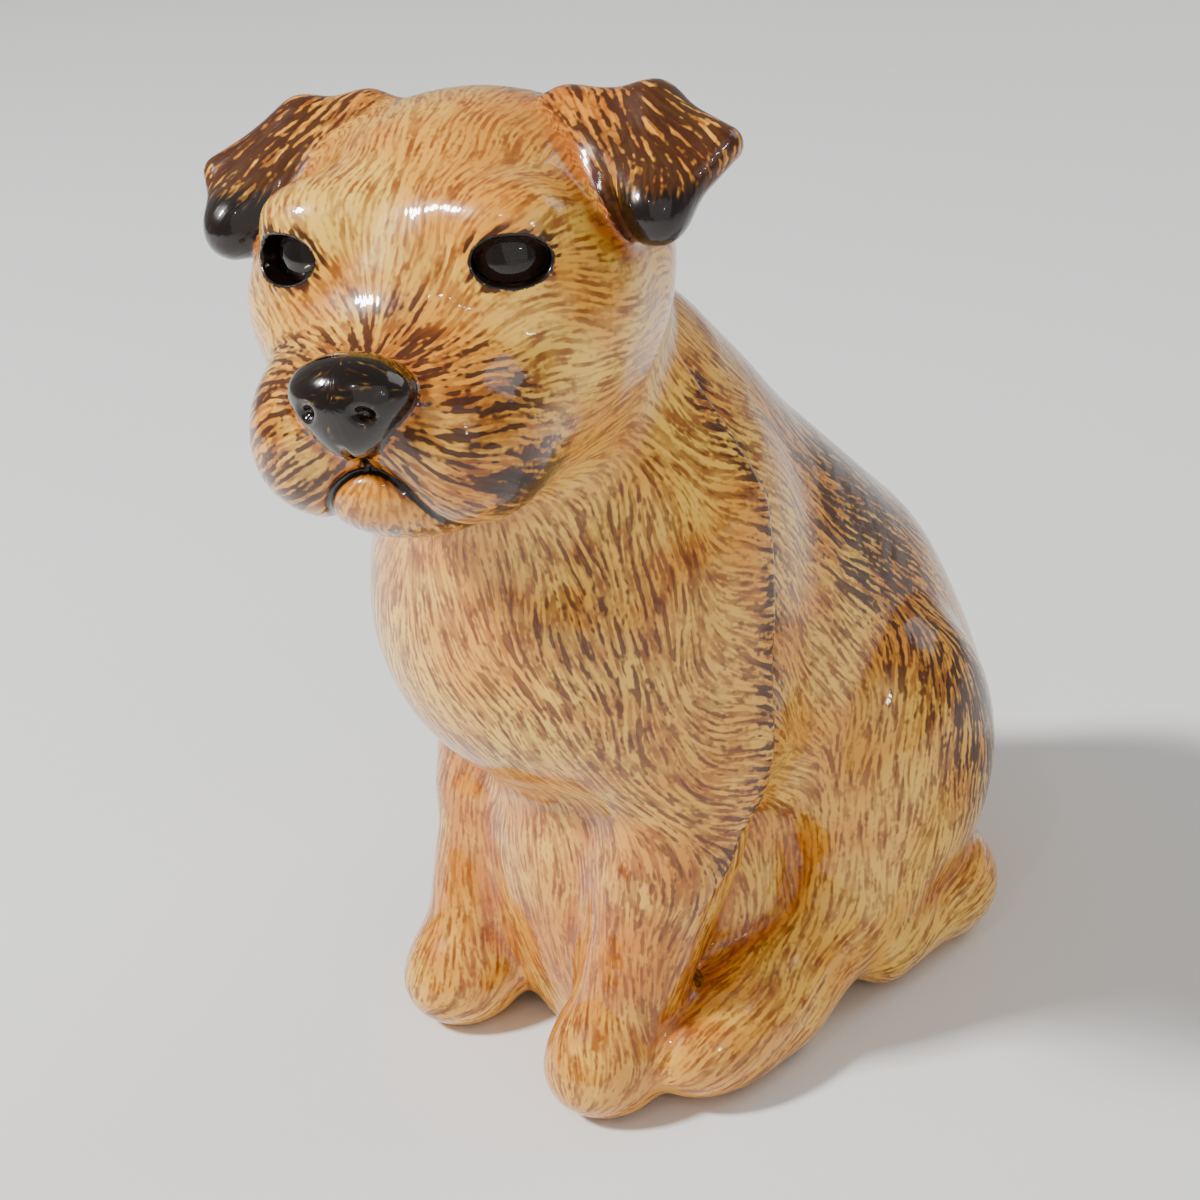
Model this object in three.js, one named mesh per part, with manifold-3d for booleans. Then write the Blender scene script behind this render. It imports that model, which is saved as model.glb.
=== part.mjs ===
// A seated terrier in glazed earthenware. The hollow body and head, the ears, nose, legs and
// tail are cast apart and luted together, and each glass eye sits over a painted iris.
// The dog faces -Y with its left side at +X, and the part's origin is under its middle.
import * as THREE from 'three';
import { mergeVertices } from 'three/addons/utils/BufferGeometryUtils.js';
import Module from 'manifold-3d';

// Body
const CHEST_WIDTH = 90;
const CHEST_HEIGHT = 123;
const CHEST_FORWARD = 50;
const WITHERS_HEIGHT = 167;
const RUMP_WIDTH = 90;
const RUMP_BACK = 34;
const RUMP_HEIGHT = 44;
const NECK_WIDTH = 70;
const BASE_WIDTH = 84;
// Legs and tail
const PAW_SPACING = 60;
const PAW_FORWARD = 77;
const PAW_WIDTH = 32;
const FORELEG_WIDTH = 28;
const ELBOW_HEIGHT = 66;
const HAUNCH_SPACING = 76;
const HAUNCH_LENGTH = 66;
const HIND_FOOT_FORWARD = 47;
const HIND_FOOT_WIDTH = 36;
const TAIL_WIDTH = 30;
const TAIL_CURL = 48;
// Head
const HEAD_HEIGHT = 213;
const HEAD_FORWARD = 66;
const HEAD_SIDE = 8;
const HEAD_WIDTH = 89;
const HEAD_TURN = 29;
const HEAD_TILT = -12;
const MUZZLE_WIDTH = 62;
const MUZZLE_LENGTH = 64;
const NOSE_WIDTH = 28;
const EAR_SPREAD = 123;
const EAR_THICKNESS = 10;
const EAR_DROOP = 5;
const EYE_SPACING = 44;
const EYE_DIAMETER = 21;
const EYE_FORWARD = 28.5;
const EYE_HEIGHT = 12.5;
const BROW_FORWARD = 30;
const EYE_OPENING_WIDTH = 17.5;
const EYE_OPENING_HEIGHT = 11.5;
const IRIS_THICKNESS = 1.6;
const EYE_WALL = 3;
// Walls, joints and mesh size
const WALL = 8;
const VENT_DIAMETER = 14;
const JOINT_GAP = 0.3;
const JOINT_MARGIN = 4;
const JOINT_DEPTH = 2;
const BODY_CELL = 9.5;
const HEAD_CELL = 6.8;
const BODY_REGION_CELL = 9;
const HEAD_REGION_CELL = 5;
const HOLLOW_CELL = 13;

const wasm = await Module();
wasm.setup();

const at = (x, y, z) => new THREE.Vector3(x, y, z);
const turned = (x, y, z) => new THREE.Quaternion().setFromEuler(
  new THREE.Euler(...[x, y, z].map(THREE.MathUtils.degToRad), 'ZYX'));

// A shape is a function from a point to its distance outside the surface, negative inside.
function egg(centre, radii, turn = new THREE.Quaternion()) {
  const back = turn.clone().invert();
  const squares = radii.clone().multiply(radii);
  return (point) => {
    const local = point.clone().sub(centre).applyQuaternion(back);
    const reach = local.clone().divide(radii).length();
    return reach * (reach - 1) / (local.divide(squares).length() + 1e-9);
  };
}

function taper(start, startRadius, end, endRadius) {
  const axis = end.clone().sub(start);
  const length = axis.length();
  axis.divideScalar(length);
  const lean = (startRadius - endRadius) / length;
  const rise = Math.sqrt(1 - lean * lean);
  return (point) => {
    const offset = point.clone().sub(start);
    const along = offset.dot(axis);
    const out = Math.sqrt(Math.max(offset.lengthSq() - along * along, 0));
    const station = THREE.MathUtils.clamp((along - out * lean / rise) / length, 0, 1);
    const nearest = start.clone().addScaledVector(axis, station * length);
    return point.distanceTo(nearest) - THREE.MathUtils.lerp(startRadius, endRadius, station);
  };
}

function flap(a, b, c, radius) {
  const triangle = new THREE.Triangle(a, b, c);
  const nearest = new THREE.Vector3();
  return (point) => triangle.closestPointToPoint(point, nearest).distanceTo(point) - radius;
}

// Joins shapes with a fillet of about the given size.
function blend(size, ...shapes) {
  return (point) => shapes.map((shape) => shape(point)).reduce((one, other) => {
    const overlap = Math.max(size - Math.abs(one - other), 0) / size;
    return Math.min(one, other) - overlap * overlap * size / 4;
  });
}

// The room that two shapes share, with its edge rounded by about the given size.
function common(size, one, other) {
  const outside = blend(size, (point) => -one(point), (point) => -other(point));
  return (point) => -outside(point);
}

const headTurn = turned(HEAD_TILT, 0, HEAD_TURN);
const headCentre = at(HEAD_SIDE, -HEAD_FORWARD, HEAD_HEIGHT);

// Places a shape that is modelled about the middle of the head.
function onHead(shape) {
  const back = headTurn.clone().invert();
  return (point) => shape(point.clone().sub(headCentre).applyQuaternion(back));
}

function torsoShape() {
  const ribs = CHEST_WIDTH / 2;
  const rump = RUMP_WIDTH / 2;
  const chest = at(0, -CHEST_FORWARD, CHEST_HEIGHT);
  const seat = at(0, RUMP_BACK, RUMP_HEIGHT);
  const trunk = taper(at(0, chest.y + 8, chest.z + 2), ribs, at(0, seat.y - 12, seat.z + 14), rump + 4);
  const back = taper(at(0, chest.y + 20, WITHERS_HEIGHT), ribs - 13, at(0, seat.y - 10, seat.z + 48), rump - 6);
  const breast = egg(chest, at(ribs - 1, ribs - 8, ribs - 4));
  const rear = egg(seat, at(rump, rump - 3, RUMP_HEIGHT + 2));
  return blend(18, blend(30, trunk, back), breast, rear);
}

function neckShape() {
  const radius = NECK_WIDTH / 2;
  return taper(at(0, -CHEST_FORWARD + 14, CHEST_HEIGHT + 30), radius + 3,
    at(HEAD_SIDE, -HEAD_FORWARD + 6, HEAD_HEIGHT - 14), radius - 2);
}

// The closed floor between the legs, and the clay web behind the forelegs.
function baseShape() {
  const half = BASE_WIDTH / 2;
  return blend(16,
    egg(at(0, -PAW_FORWARD + 21, 40), at(PAW_SPACING / 2, 18, 48)),
    egg(at(0, -PAW_FORWARD + 51, 34), at(half - 2, 36, 40)),
    egg(at(0, 2, 16), at(half, 58, 18)));
}

function shoulderShape(side) {
  const ribs = CHEST_WIDTH / 2;
  return blend(14,
    egg(at(side * (ribs - 14), -CHEST_FORWARD + 12, CHEST_HEIGHT + 4), at(22, 34, 50), turned(-12, 0, 0)),
    taper(at(side * (ribs - 10), -CHEST_FORWARD + 14, ELBOW_HEIGHT + 26), 19,
      at(side * (ribs - 13), -PAW_FORWARD + 25, ELBOW_HEIGHT - 6), FORELEG_WIDTH / 2 + 1));
}

function forelegShape(side) {
  const half = PAW_SPACING / 2;
  const ankle = at(side * half, -PAW_FORWARD + 5, 20);
  return blend(8,
    taper(at(side * (half + 4), -PAW_FORWARD + 27, ELBOW_HEIGHT), FORELEG_WIDTH / 2 + 2,
      ankle, FORELEG_WIDTH / 2 - 0.5),
    egg(at(side * half, -PAW_FORWARD, 12), at(PAW_WIDTH / 2, PAW_WIDTH / 2 + 1.5, 14)));
}

function hindLegShape(side) {
  const half = HAUNCH_SPACING / 2;
  const foot = HIND_FOOT_WIDTH / 2;
  const toes = at(side * (half + 5), -HIND_FOOT_FORWARD, 13);
  return blend(12,
    egg(at(side * half, RUMP_BACK - 14, RUMP_HEIGHT + 14), at(26, HAUNCH_LENGTH / 2, 44), turned(-12, 0, 0)),
    taper(at(side * (half + 1), toes.y + 46, 24), foot, at(toes.x, toes.y + 18, toes.z + 2), foot - 4),
    egg(toes, at(foot, foot + 10, 15), turned(0, 0, side * 8)));
}

function tailShape() {
  const radius = TAIL_WIDTH / 2;
  const root = at(0, RUMP_BACK + 22, radius + 7);
  const bend = at(TAIL_CURL - 6, root.y - 24, radius);
  const tip = at(TAIL_CURL, bend.y - 29, radius - 3);
  return blend(8, taper(root, radius, bend, radius), taper(bend, radius, tip, radius - 4));
}

function skullShape() {
  const half = HEAD_WIDTH / 2;
  const muzzle = MUZZLE_WIDTH / 2;
  const cheek = (side) => egg(at(side * (half - 19), -19, 1), at(19, 19, 20));
  const brow = (side) => egg(at(side * (EYE_SPACING / 2 - 2), -BROW_FORWARD, EYE_HEIGHT + 8.5), at(15, 9, 7));
  const jowl = (side) => egg(at(side * (muzzle / 2 + 1), 24 - MUZZLE_LENGTH, -24), at(17.5, 24, 19.5));
  const cranium = blend(16,
    egg(at(0, 4.5, 8.5), at(half, half - 1.5, 36.5)),
    egg(at(0, -7, -11.5), at(half - 2.5, half - 4.5, 36.5)));
  const upper = blend(9, blend(10, cranium, ...both(cheek)), blend(8, ...both(brow)));
  const snout = blend(8, egg(at(0, 30 - MUZZLE_LENGTH, -17), at(muzzle - 1, muzzle + 1, 17)), ...both(jowl));
  const jaw = egg(at(0, 32 - MUZZLE_LENGTH, -34), at(muzzle - 8, muzzle - 2, 14.5));
  return blend(5, blend(10, upper, snout), jaw);
}

function noseShape() {
  const half = NOSE_WIDTH / 2;
  return egg(at(0, -MUZZLE_LENGTH, -12.5), at(half, half - 4, half - 4));
}

// The ear folds over its crest and hangs to its tip, the right one lower than the left.
function earShape(side) {
  const droop = side < 0 ? EAR_DROOP : 0;
  const reach = EAR_SPREAD / 2;
  const corner = at(side * (reach + 1.5 - droop), -6 - droop * 0.5, 32.5 - droop);
  const crest = at(side * (reach - 16 - droop), 0, 40 - droop * 0.4);
  const top = at(side * (HEAD_WIDTH / 2 - 20), 2, 39.5);
  const tip = at(side * (reach - 10), -17, 19 - droop * 0.7);
  const root = at(side * (HEAD_WIDTH / 2 - 6), -2, 20);
  const radius = EAR_THICKNESS / 2;
  return blend(7,
    flap(crest, corner, tip, radius - 0.8),
    flap(top, crest, tip, radius - 0.4),
    flap(at(top.x, top.y, top.z - 2.5), root, at(tip.x - side * 2, tip.y + 1, tip.z + 2), radius + 0.4));
}

const sides = { left: 1, right: -1 };
const both = (shape) => [shape(sides.left), shape(sides.right)];

const headShape = onHead(blend(6, blend(3, skullShape(), noseShape()), ...both(earShape)));
const trunkShape = blend(10, blend(8, blend(22, torsoShape(), neckShape()), ...both(shoulderShape)), baseShape());
const bodyShape = blend(8, trunkShape, ...both(forelegShape), ...both(hindLegShape), tailShape());
const dogShape = blend(9, bodyShape, headShape);

function slope(shape, point, step = 0.05) {
  const along = (axis) => shape(point.clone().addScaledVector(axis, step))
    - shape(point.clone().addScaledVector(axis, -step));
  return at(along(at(1, 0, 0)), along(at(0, 1, 0)), along(at(0, 0, 1))).divideScalar(2 * step);
}

// A shape cut off at a box.
function boxed(shape, low, high) {
  const middle = low.clone().add(high).multiplyScalar(0.5);
  const half = high.clone().sub(middle);
  return (point) => {
    const out = point.clone().sub(middle);
    return Math.max(shape(point), Math.abs(out.x) - half.x, Math.abs(out.y) - half.y, Math.abs(out.z) - half.z);
  };
}

// Closed triangle skin of a shape, sampled on a grid. In each grid cell the grid edges that the
// surface crosses fall into sheets, each sheet has one vertex, drawn onto the surface, and a quad
// goes round each crossed grid edge.
function skin(whole, boxLow, boxHigh, cell) {
  const shape = boxed(whole, boxLow, boxHigh);
  const low = boxLow.clone().addScalar(-2 * cell);
  const counts = boxHigh.clone().sub(low).divideScalar(cell).ceil().addScalar(2);
  const strides = [1, counts.x, counts.x * counts.y];
  const corners = Array.from({ length: counts.x * counts.y * counts.z }, (_, index) => at(
    index % counts.x, Math.floor(index / strides[1]) % counts.y, Math.floor(index / strides[2]),
  ).multiplyScalar(cell).add(low));
  const values = corners.map(shape);
  const edge = (one, other) => Math.min(one, other) * values.length + Math.max(one, other);

  // The four corners of each face of a cell, in order round it.
  const faces = [0, 1, 2].flatMap((a) => {
    const [b, c] = [strides[(a + 1) % 3], strides[(a + 2) % 3]];
    return [0, strides[a]].map((side) => [side, side + b, side + b + c, side + c]);
  });

  const cellSheets = new Map();
  function sheetsIn(here) {
    if (cellSheets.has(here)) return cellSheets.get(here);
    const sheetOf = new Map();
    for (const face of faces) {
      const ring = face.map((offset) => here + offset);
      const inside = ring.map((corner) => values[corner] < 0);
      for (let n = 0; n < 4; n += 1) {
        if (!inside[n] && inside[(n + 1) % 4]) {
          let m = n + 1;
          while (inside[(m + 1) % 4]) m += 1;
          const joined = new Set([[n, n + 1], [m, m + 1]].flatMap(([one, other]) => {
            const name = edge(ring[one % 4], ring[other % 4]);
            return [...(sheetOf.get(name) ?? [name])];
          }));
          joined.forEach((name) => sheetOf.set(name, joined));
        }
      }
    }
    cellSheets.set(here, sheetOf);
    return sheetOf;
  }

  const positions = [];
  const vertexOf = new Map();
  function vertexIn(here, crossed) {
    const sheet = sheetsIn(here).get(crossed);
    if (!vertexOf.has(sheet)) {
      const vertex = new THREE.Vector3();
      for (const name of sheet) {
        const [one, other] = [Math.floor(name / values.length), name % values.length];
        const share = values[one] / (values[one] - values[other]);
        vertex.addScaledVector(corners[one], 1 - share).addScaledVector(corners[other], share);
      }
      vertex.divideScalar(sheet.size);
      for (let round = 0; round < 3; round += 1) {
        const normal = slope(shape, vertex);
        const pull = THREE.MathUtils.clamp(shape(vertex) / normal.lengthSq(), -cell / 4, cell / 4);
        vertex.addScaledVector(normal, -pull);
      }
      vertexOf.set(sheet, positions.length / 3);
      positions.push(...vertex.toArray());
    }
    return vertexOf.get(sheet);
  }

  const triangles = [];
  for (let index = 0; index < values.length - strides[2]; index += 1) {
    for (let a = 0; a < 3; a += 1) {
      const [b, c] = [strides[(a + 1) % 3], strides[(a + 2) % 3]];
      const far = index + strides[a];
      if ((values[index] < 0) !== (values[far] < 0)) {
        const crossed = edge(index, far);
        const ring = [index, index - b, index - b - c, index - c].map((here) => vertexIn(here, crossed));
        if (values[index] >= 0) ring.reverse();
        triangles.push(ring[0], ring[1], ring[2], ring[0], ring[2], ring[3]);
      }
    }
  }
  const geometry = new THREE.BufferGeometry();
  geometry.setAttribute('position', new THREE.Float32BufferAttribute(positions, 3));
  geometry.setIndex(triangles);
  return geometry;
}

// Moves every vertex outwards by the given distance.
function swollen(geometry, distance) {
  const grown = geometry.clone();
  grown.computeVertexNormals();
  const position = grown.attributes.position;
  const normal = grown.attributes.normal;
  for (let i = 0; i < position.count; i += 1) {
    position.setXYZ(i, position.getX(i) + distance * normal.getX(i),
      position.getY(i) + distance * normal.getY(i), position.getZ(i) + distance * normal.getZ(i));
  }
  return grown;
}

function solid(geometry) {
  const bare = geometry.clone();
  bare.deleteAttribute('normal');
  bare.deleteAttribute('uv');
  const merged = mergeVertices(bare, 1e-5);
  return new wasm.Manifold(new wasm.Mesh({
    numProp: 3,
    vertProperties: new Float32Array(merged.attributes.position.array),
    triVerts: new Uint32Array(merged.index.array),
  }));
}

function placed(geometry, centre, turn = new THREE.Quaternion()) {
  return solid(geometry.clone().applyQuaternion(turn).translate(centre.x, centre.y, centre.z));
}

function ball(centre, radii, turn = new THREE.Quaternion(), around = 16) {
  return placed(new THREE.SphereGeometry(1, around, around / 2).rotateX(Math.PI / 2)
    .scale(radii.x, radii.y, radii.z), centre, turn);
}

function mesh(name, piece, material) {
  const { vertProperties, triVerts } = piece.getMesh();
  const geometry = new THREE.BufferGeometry();
  geometry.setAttribute('position', new THREE.Float32BufferAttribute(vertProperties, 3));
  geometry.setIndex(Array.from(triVerts));
  const result = new THREE.Mesh(geometry, material);
  result.name = name;
  return result;
}

function glaze(color, roughness = 0.12) {
  return new THREE.MeshStandardMaterial({ color, roughness, metalness: 0 });
}
const honeyGlaze = glaze(0xc8924e);
const darkGlaze = glaze(0x5b3319);
const noseGlaze = glaze(0x2c1812, 0.08);
const irisPaint = glaze(0x3a2213, 0.35);
const eyeGlass = glaze(0x17100d, 0.03);

// The room that one cast piece fills where it stands on its neighbour, and that room with its gap.
function region(shape, neighbour, low, high, cell) {
  const room = common(6, (point) => shape(point) - JOINT_MARGIN, (point) => -neighbour(point) - JOINT_DEPTH);
  const inner = skin(room, low, high, cell);
  const fill = solid(inner);
  return { fill, cut: solid(swollen(inner, JOINT_GAP)).add(fill) };
}

const SPAN = at(RUMP_WIDTH / 2 + 40, 0, 0);
const bodyLow = at(-SPAN.x, -PAW_FORWARD - 50, -14);
const bodyHigh = at(SPAN.x, RUMP_BACK + 60, HEAD_HEIGHT + 10);
const headReach = Math.max(EAR_SPREAD / 2, MUZZLE_LENGTH) + 24;
const headLow = headCentre.clone().addScalar(-headReach);
const headHigh = headCentre.clone().addScalar(headReach);

// The neck joint is a flat luted face square to the neck.
const neckNormal = at(0, -20, 46).normalize();
const neckPoint = at(0, 2 - CHEST_FORWARD, HEAD_HEIGHT - 32);
function aboveNeck(lift) {
  const size = 400;
  const turn = new THREE.Quaternion().setFromUnitVectors(at(0, 0, 1), neckNormal);
  const centre = neckPoint.clone().addScaledVector(neckNormal, size / 2 + lift);
  return placed(new THREE.BoxGeometry(size, size, size), centre, turn);
}

// One hollow runs from the seat through the neck into the skull, and drains through the base.
function hollow() {
  const clay = blend(9, trunkShape, onHead(skullShape()));
  const low = at(bodyLow.x, bodyLow.y, WALL);
  const high = at(bodyHigh.x, bodyHigh.y, headHigh.z);
  const room = solid(skin((point) => clay(point) + WALL, low, high, HOLLOW_CELL));
  const vent = placed(new THREE.CylinderGeometry(VENT_DIAMETER / 2, VENT_DIAMETER / 2, 4 * WALL, 24)
    .rotateX(Math.PI / 2), at(0, RUMP_BACK - 22, WALL));
  return room.add(vent);
}

function eye(side) {
  const radius = EYE_DIAMETER / 2;
  const centre = headCentre.clone()
    .add(at(side * EYE_SPACING / 2, -EYE_FORWARD, EYE_HEIGHT).applyQuaternion(headTurn));
  const gaze = headTurn.clone().multiply(turned(0, 0, side * 24));
  const local = (x, y, z) => centre.clone().add(at(x, y, z).applyQuaternion(gaze));
  const depth = radius * 0.3;
  const behind = placed(new THREE.BoxGeometry(4 * radius, 4 * radius, 4 * radius),
    local(0, 2 * radius - depth, 0), gaze);
  const glass = ball(centre, at(radius, radius, radius), gaze, 20).subtract(behind);
  const disc = (r, thickness, y) => placed(new THREE.CylinderGeometry(r, r, thickness, 20), local(0, y, 0), gaze);
  const irisY = JOINT_GAP - depth + IRIS_THICKNESS / 2;
  const iris = disc(radius * 0.9, IRIS_THICKNESS, irisY);
  const grown = radius + JOINT_GAP;
  const socket = ball(centre, at(grown, grown, grown), gaze, 20)
    .subtract(placed(new THREE.BoxGeometry(4 * radius, 4 * radius, 4 * radius),
      local(0, 2 * radius - depth + JOINT_GAP, 0), gaze))
    .add(disc(radius * 0.9 + JOINT_GAP, IRIS_THICKNESS + 2 * JOINT_GAP, irisY))
    .add(placed(new THREE.CylinderGeometry(1, 1, 1.5 * radius, 24)
      .scale(EYE_OPENING_WIDTH / 2, 1, EYE_OPENING_HEIGHT / 2), local(0, -1.25 * radius, 0), gaze));
  const backing = ball(centre, at(grown, grown, grown).addScalar(EYE_WALL));
  return { glass, iris, socket, backing };
}

const ground = placed(new THREE.BoxGeometry(600, 600, 100), at(0, 0, -50));
const eyes = { left: eye(sides.left), right: eye(sides.right) };
const cavity = hollow().subtract(eyes.left.backing).subtract(eyes.right.backing);
let body = solid(skin(dogShape, bodyLow, bodyHigh, BODY_CELL)).subtract(ground).subtract(cavity)
  .subtract(aboveNeck(-JOINT_GAP / 2));
let head = solid(skin(dogShape, headLow, headHigh, HEAD_CELL)).subtract(cavity)
  .intersect(aboveNeck(JOINT_GAP / 2)).subtract(eyes.left.socket).subtract(eyes.right.socket);

const part = new THREE.Group();

// The largest body of a casting, without the crumbs that a cut can leave.
function trimmed(casting) {
  return casting.decompose().reduce((one, other) => (one.volume() > other.volume() ? one : other));
}

// Takes the piece that fills a region out of the casting round it.
function lute(name, casting, { fill, cut }, material) {
  part.add(mesh(name, trimmed(casting.intersect(fill)), material));
  return casting.subtract(cut);
}
const onBody = (shape) => region(shape, trunkShape, bodyLow, bodyHigh, BODY_REGION_CELL);
const onSkull = (shape) => region(onHead(shape), onHead(skullShape()), headLow, headHigh, HEAD_REGION_CELL);

head = lute('nose', head, onSkull(noseShape()), noseGlaze);
for (const [name, side] of Object.entries(sides)) {
  head = lute(`${name}_ear`, head, onSkull(earShape(side)), darkGlaze);
  body = lute(`${name}_foreleg`, body, onBody(forelegShape(side)), honeyGlaze);
  body = lute(`${name}_hind_leg`, body, onBody(hindLegShape(side)), honeyGlaze);
  part.add(mesh(`${name}_eye_glass`, eyes[name].glass, eyeGlass));
  part.add(mesh(`${name}_eye_iris`, eyes[name].iris, irisPaint));
}
body = lute('tail', body, onBody(tailShape()), honeyGlaze);
part.add(mesh('head_shell', trimmed(head), honeyGlaze));
part.add(mesh('body_shell', trimmed(body), honeyGlaze));

const extent = new THREE.Box3().setFromObject(part);
part.position.set(-(extent.min.x + extent.max.x) / 2, -(extent.min.y + extent.max.y) / 2, -extent.min.z);

export default part;
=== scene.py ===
"""A seated terrier in hand-painted, gloss-glazed earthenware, modelled round its CAD frame.

The surface is described by smooth shape functions in millimetres, in the dog's own frame: it faces
-Y, its left side is at +X, and the middle of its body is over the origin. The frame says where that
origin lies in the part. Sizes are those of the CAD part, with the finer modelling added.
"""
import math

import bpy
import numpy as np
from mathutils import Matrix, Vector


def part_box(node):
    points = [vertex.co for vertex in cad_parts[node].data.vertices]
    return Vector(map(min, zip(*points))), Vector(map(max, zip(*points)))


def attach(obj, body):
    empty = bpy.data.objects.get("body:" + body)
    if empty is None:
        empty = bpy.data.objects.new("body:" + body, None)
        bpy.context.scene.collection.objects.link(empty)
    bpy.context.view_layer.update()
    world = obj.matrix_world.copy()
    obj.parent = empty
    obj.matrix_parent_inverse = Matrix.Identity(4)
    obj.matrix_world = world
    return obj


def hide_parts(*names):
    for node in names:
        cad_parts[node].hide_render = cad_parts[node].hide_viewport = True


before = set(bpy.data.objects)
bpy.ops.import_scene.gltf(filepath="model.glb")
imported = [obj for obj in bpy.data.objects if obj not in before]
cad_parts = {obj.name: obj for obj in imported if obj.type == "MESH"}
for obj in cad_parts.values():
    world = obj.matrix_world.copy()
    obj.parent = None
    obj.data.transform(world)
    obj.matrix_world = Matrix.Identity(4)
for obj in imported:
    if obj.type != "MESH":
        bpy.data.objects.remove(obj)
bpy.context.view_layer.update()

MM = 0.001

# Body
CHEST_WIDTH = 90
CHEST_HEIGHT = 123
CHEST_FORWARD = 50
WITHERS_HEIGHT = 167
RUMP_WIDTH = 90
RUMP_BACK = 34
RUMP_HEIGHT = 44
NECK_WIDTH = 70
BASE_WIDTH = 84
# Legs and tail
PAW_SPACING = 60
PAW_FORWARD = 77
PAW_WIDTH = 32
FORELEG_WIDTH = 28
ELBOW_HEIGHT = 66
HAUNCH_SPACING = 76
HAUNCH_LENGTH = 66
HIND_FOOT_FORWARD = 47
HIND_FOOT_WIDTH = 36
TAIL_WIDTH = 30
TAIL_CURL = 48
# Head
HEAD_HEIGHT = 213
HEAD_FORWARD = 66
HEAD_SIDE = 8
HEAD_WIDTH = 89
HEAD_TURN = 29
HEAD_TILT = -12
MUZZLE_WIDTH = 62
MUZZLE_LENGTH = 64
NOSE_WIDTH = 28
EAR_SPREAD = 123
EAR_THICKNESS = 10
EAR_DROOP = 5
EYE_SPACING = 44
EYE_DIAMETER = 21
EYE_FORWARD = 28.5
EYE_HEIGHT = 12.5
EYE_SPLAY = 24
BROW_FORWARD = 30
VENT_DIAMETER = 14
JOINT_MARGIN = 4
JOINT_DEPTH = 2
# Finer modelling that only the visible surface has
LID_THICKNESS = 1.3
EYE_OPENING = (16.6, 10.6)
MANTLE_STEP = 3.0
MANTLE_EDGE = ((30, -76), (52, -60), (80, -37), (122, -28), (155, -22), (192, -32))


def point(x, y, z):
    return np.array([x, y, z], float)


def turned(x=0, y=0, z=0):
    """Rotation matrix for turns about X, then Y, then Z, in degrees."""
    return np.array(Matrix.Rotation(math.radians(z), 3, "Z") @ Matrix.Rotation(math.radians(y), 3, "Y")
                    @ Matrix.Rotation(math.radians(x), 3, "X"))


# ---- shapes: functions from points to distances outside the surface, negative inside ----

def egg(centre, radii, turn=None):
    def shape(p):
        q = p - centre
        if turn is not None:
            q = q @ turn
        reach = np.sqrt(((q / radii) ** 2).sum(-1))
        return reach * (reach - 1) / (np.sqrt(((q / radii ** 2) ** 2).sum(-1)) + 1e-9)
    return shape


def taper(start, start_radius, end, end_radius):
    axis = end - start
    length = np.linalg.norm(axis)
    axis = axis / length
    lean = (start_radius - end_radius) / length
    rise = math.sqrt(1 - lean * lean)

    def shape(p):
        q = p - start
        along = q @ axis
        out = np.sqrt(np.maximum((q * q).sum(-1) - along * along, 0))
        station = np.clip((along - out * lean / rise) / length, 0, 1)
        gap = np.sqrt((along - station * length) ** 2 + out * out)
        return gap - start_radius - (end_radius - start_radius) * station
    return shape


def flap(a, b, c, radius):
    """A flat triangle with rounded faces and edges."""
    ba, cb, ac = b - a, c - b, a - c
    normal = np.cross(ba, ac)

    def edge_gap(side, q):
        t = np.clip(q @ side / (side @ side), 0, 1)
        d = side * t[..., None] - q
        return (d * d).sum(-1)

    def shape(p):
        pa, pb, pc = p - a, p - b, p - c
        over = (np.sign(pa @ np.cross(ba, normal)) + np.sign(pb @ np.cross(cb, normal))
                + np.sign(pc @ np.cross(ac, normal)))
        rim = np.minimum(np.minimum(edge_gap(ba, pa), edge_gap(cb, pb)), edge_gap(ac, pc))
        return np.sqrt(np.where(over < 2, rim, (pa @ normal) ** 2 / (normal @ normal))) - radius
    return shape


def ramp(value, start, end):
    """Smooth step from 0 at start to 1 at end."""
    t = np.clip((value - start) / (end - start), 0, 1)
    return t * t * (3 - 2 * t)


def soft_min(one, other, size):
    overlap = np.maximum(size - np.abs(one - other), 0) / size
    return np.minimum(one, other) - overlap * overlap * size / 4


def soft_max(one, other, size):
    return -soft_min(-one, -other, size)


def blend(size, *shapes):
    def shape(p):
        value = shapes[0](p)
        for other in shapes[1:]:
            value = soft_min(value, other(p), size)
        return value
    return shape


def carve(shape, cutter, size):
    return lambda p: soft_max(shape(p), -cutter(p), size)


HEAD_MATRIX = turned(HEAD_TILT, 0, HEAD_TURN)
HEAD_CENTRE = point(HEAD_SIDE, -HEAD_FORWARD, HEAD_HEIGHT)


def to_head(p):
    return (p - HEAD_CENTRE) @ HEAD_MATRIX


def on_head(shape):
    return lambda p: shape(to_head(p))


def torso_shape():
    ribs, rump = CHEST_WIDTH / 2, RUMP_WIDTH / 2
    chest = point(0, -CHEST_FORWARD, CHEST_HEIGHT)
    seat = point(0, RUMP_BACK, RUMP_HEIGHT)
    trunk = taper(chest + (0, 8, 2), ribs, seat + (0, -12, 14), rump + 4)
    back = taper(point(0, chest[1] + 20, WITHERS_HEIGHT), ribs - 13, seat + (0, -10, 48), rump - 6)
    breast = egg(chest, point(ribs - 1, ribs - 8, ribs - 4))
    rear = egg(seat, point(rump, rump - 3, RUMP_HEIGHT + 2))
    return blend(18, blend(30, trunk, back), breast, rear)


def neck_shape():
    radius = NECK_WIDTH / 2
    return taper(point(0, -CHEST_FORWARD + 14, CHEST_HEIGHT + 30), radius + 3,
                 point(HEAD_SIDE, -HEAD_FORWARD + 6, HEAD_HEIGHT - 14), radius - 2)


def base_shape():
    half = BASE_WIDTH / 2
    return blend(16,
                 egg(point(0, -PAW_FORWARD + 21, 40), point(PAW_SPACING / 2, 18, 48)),
                 egg(point(0, -PAW_FORWARD + 51, 34), point(half - 2, 36, 40)),
                 egg(point(0, 2, 16), point(half, 58, 18)))


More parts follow.
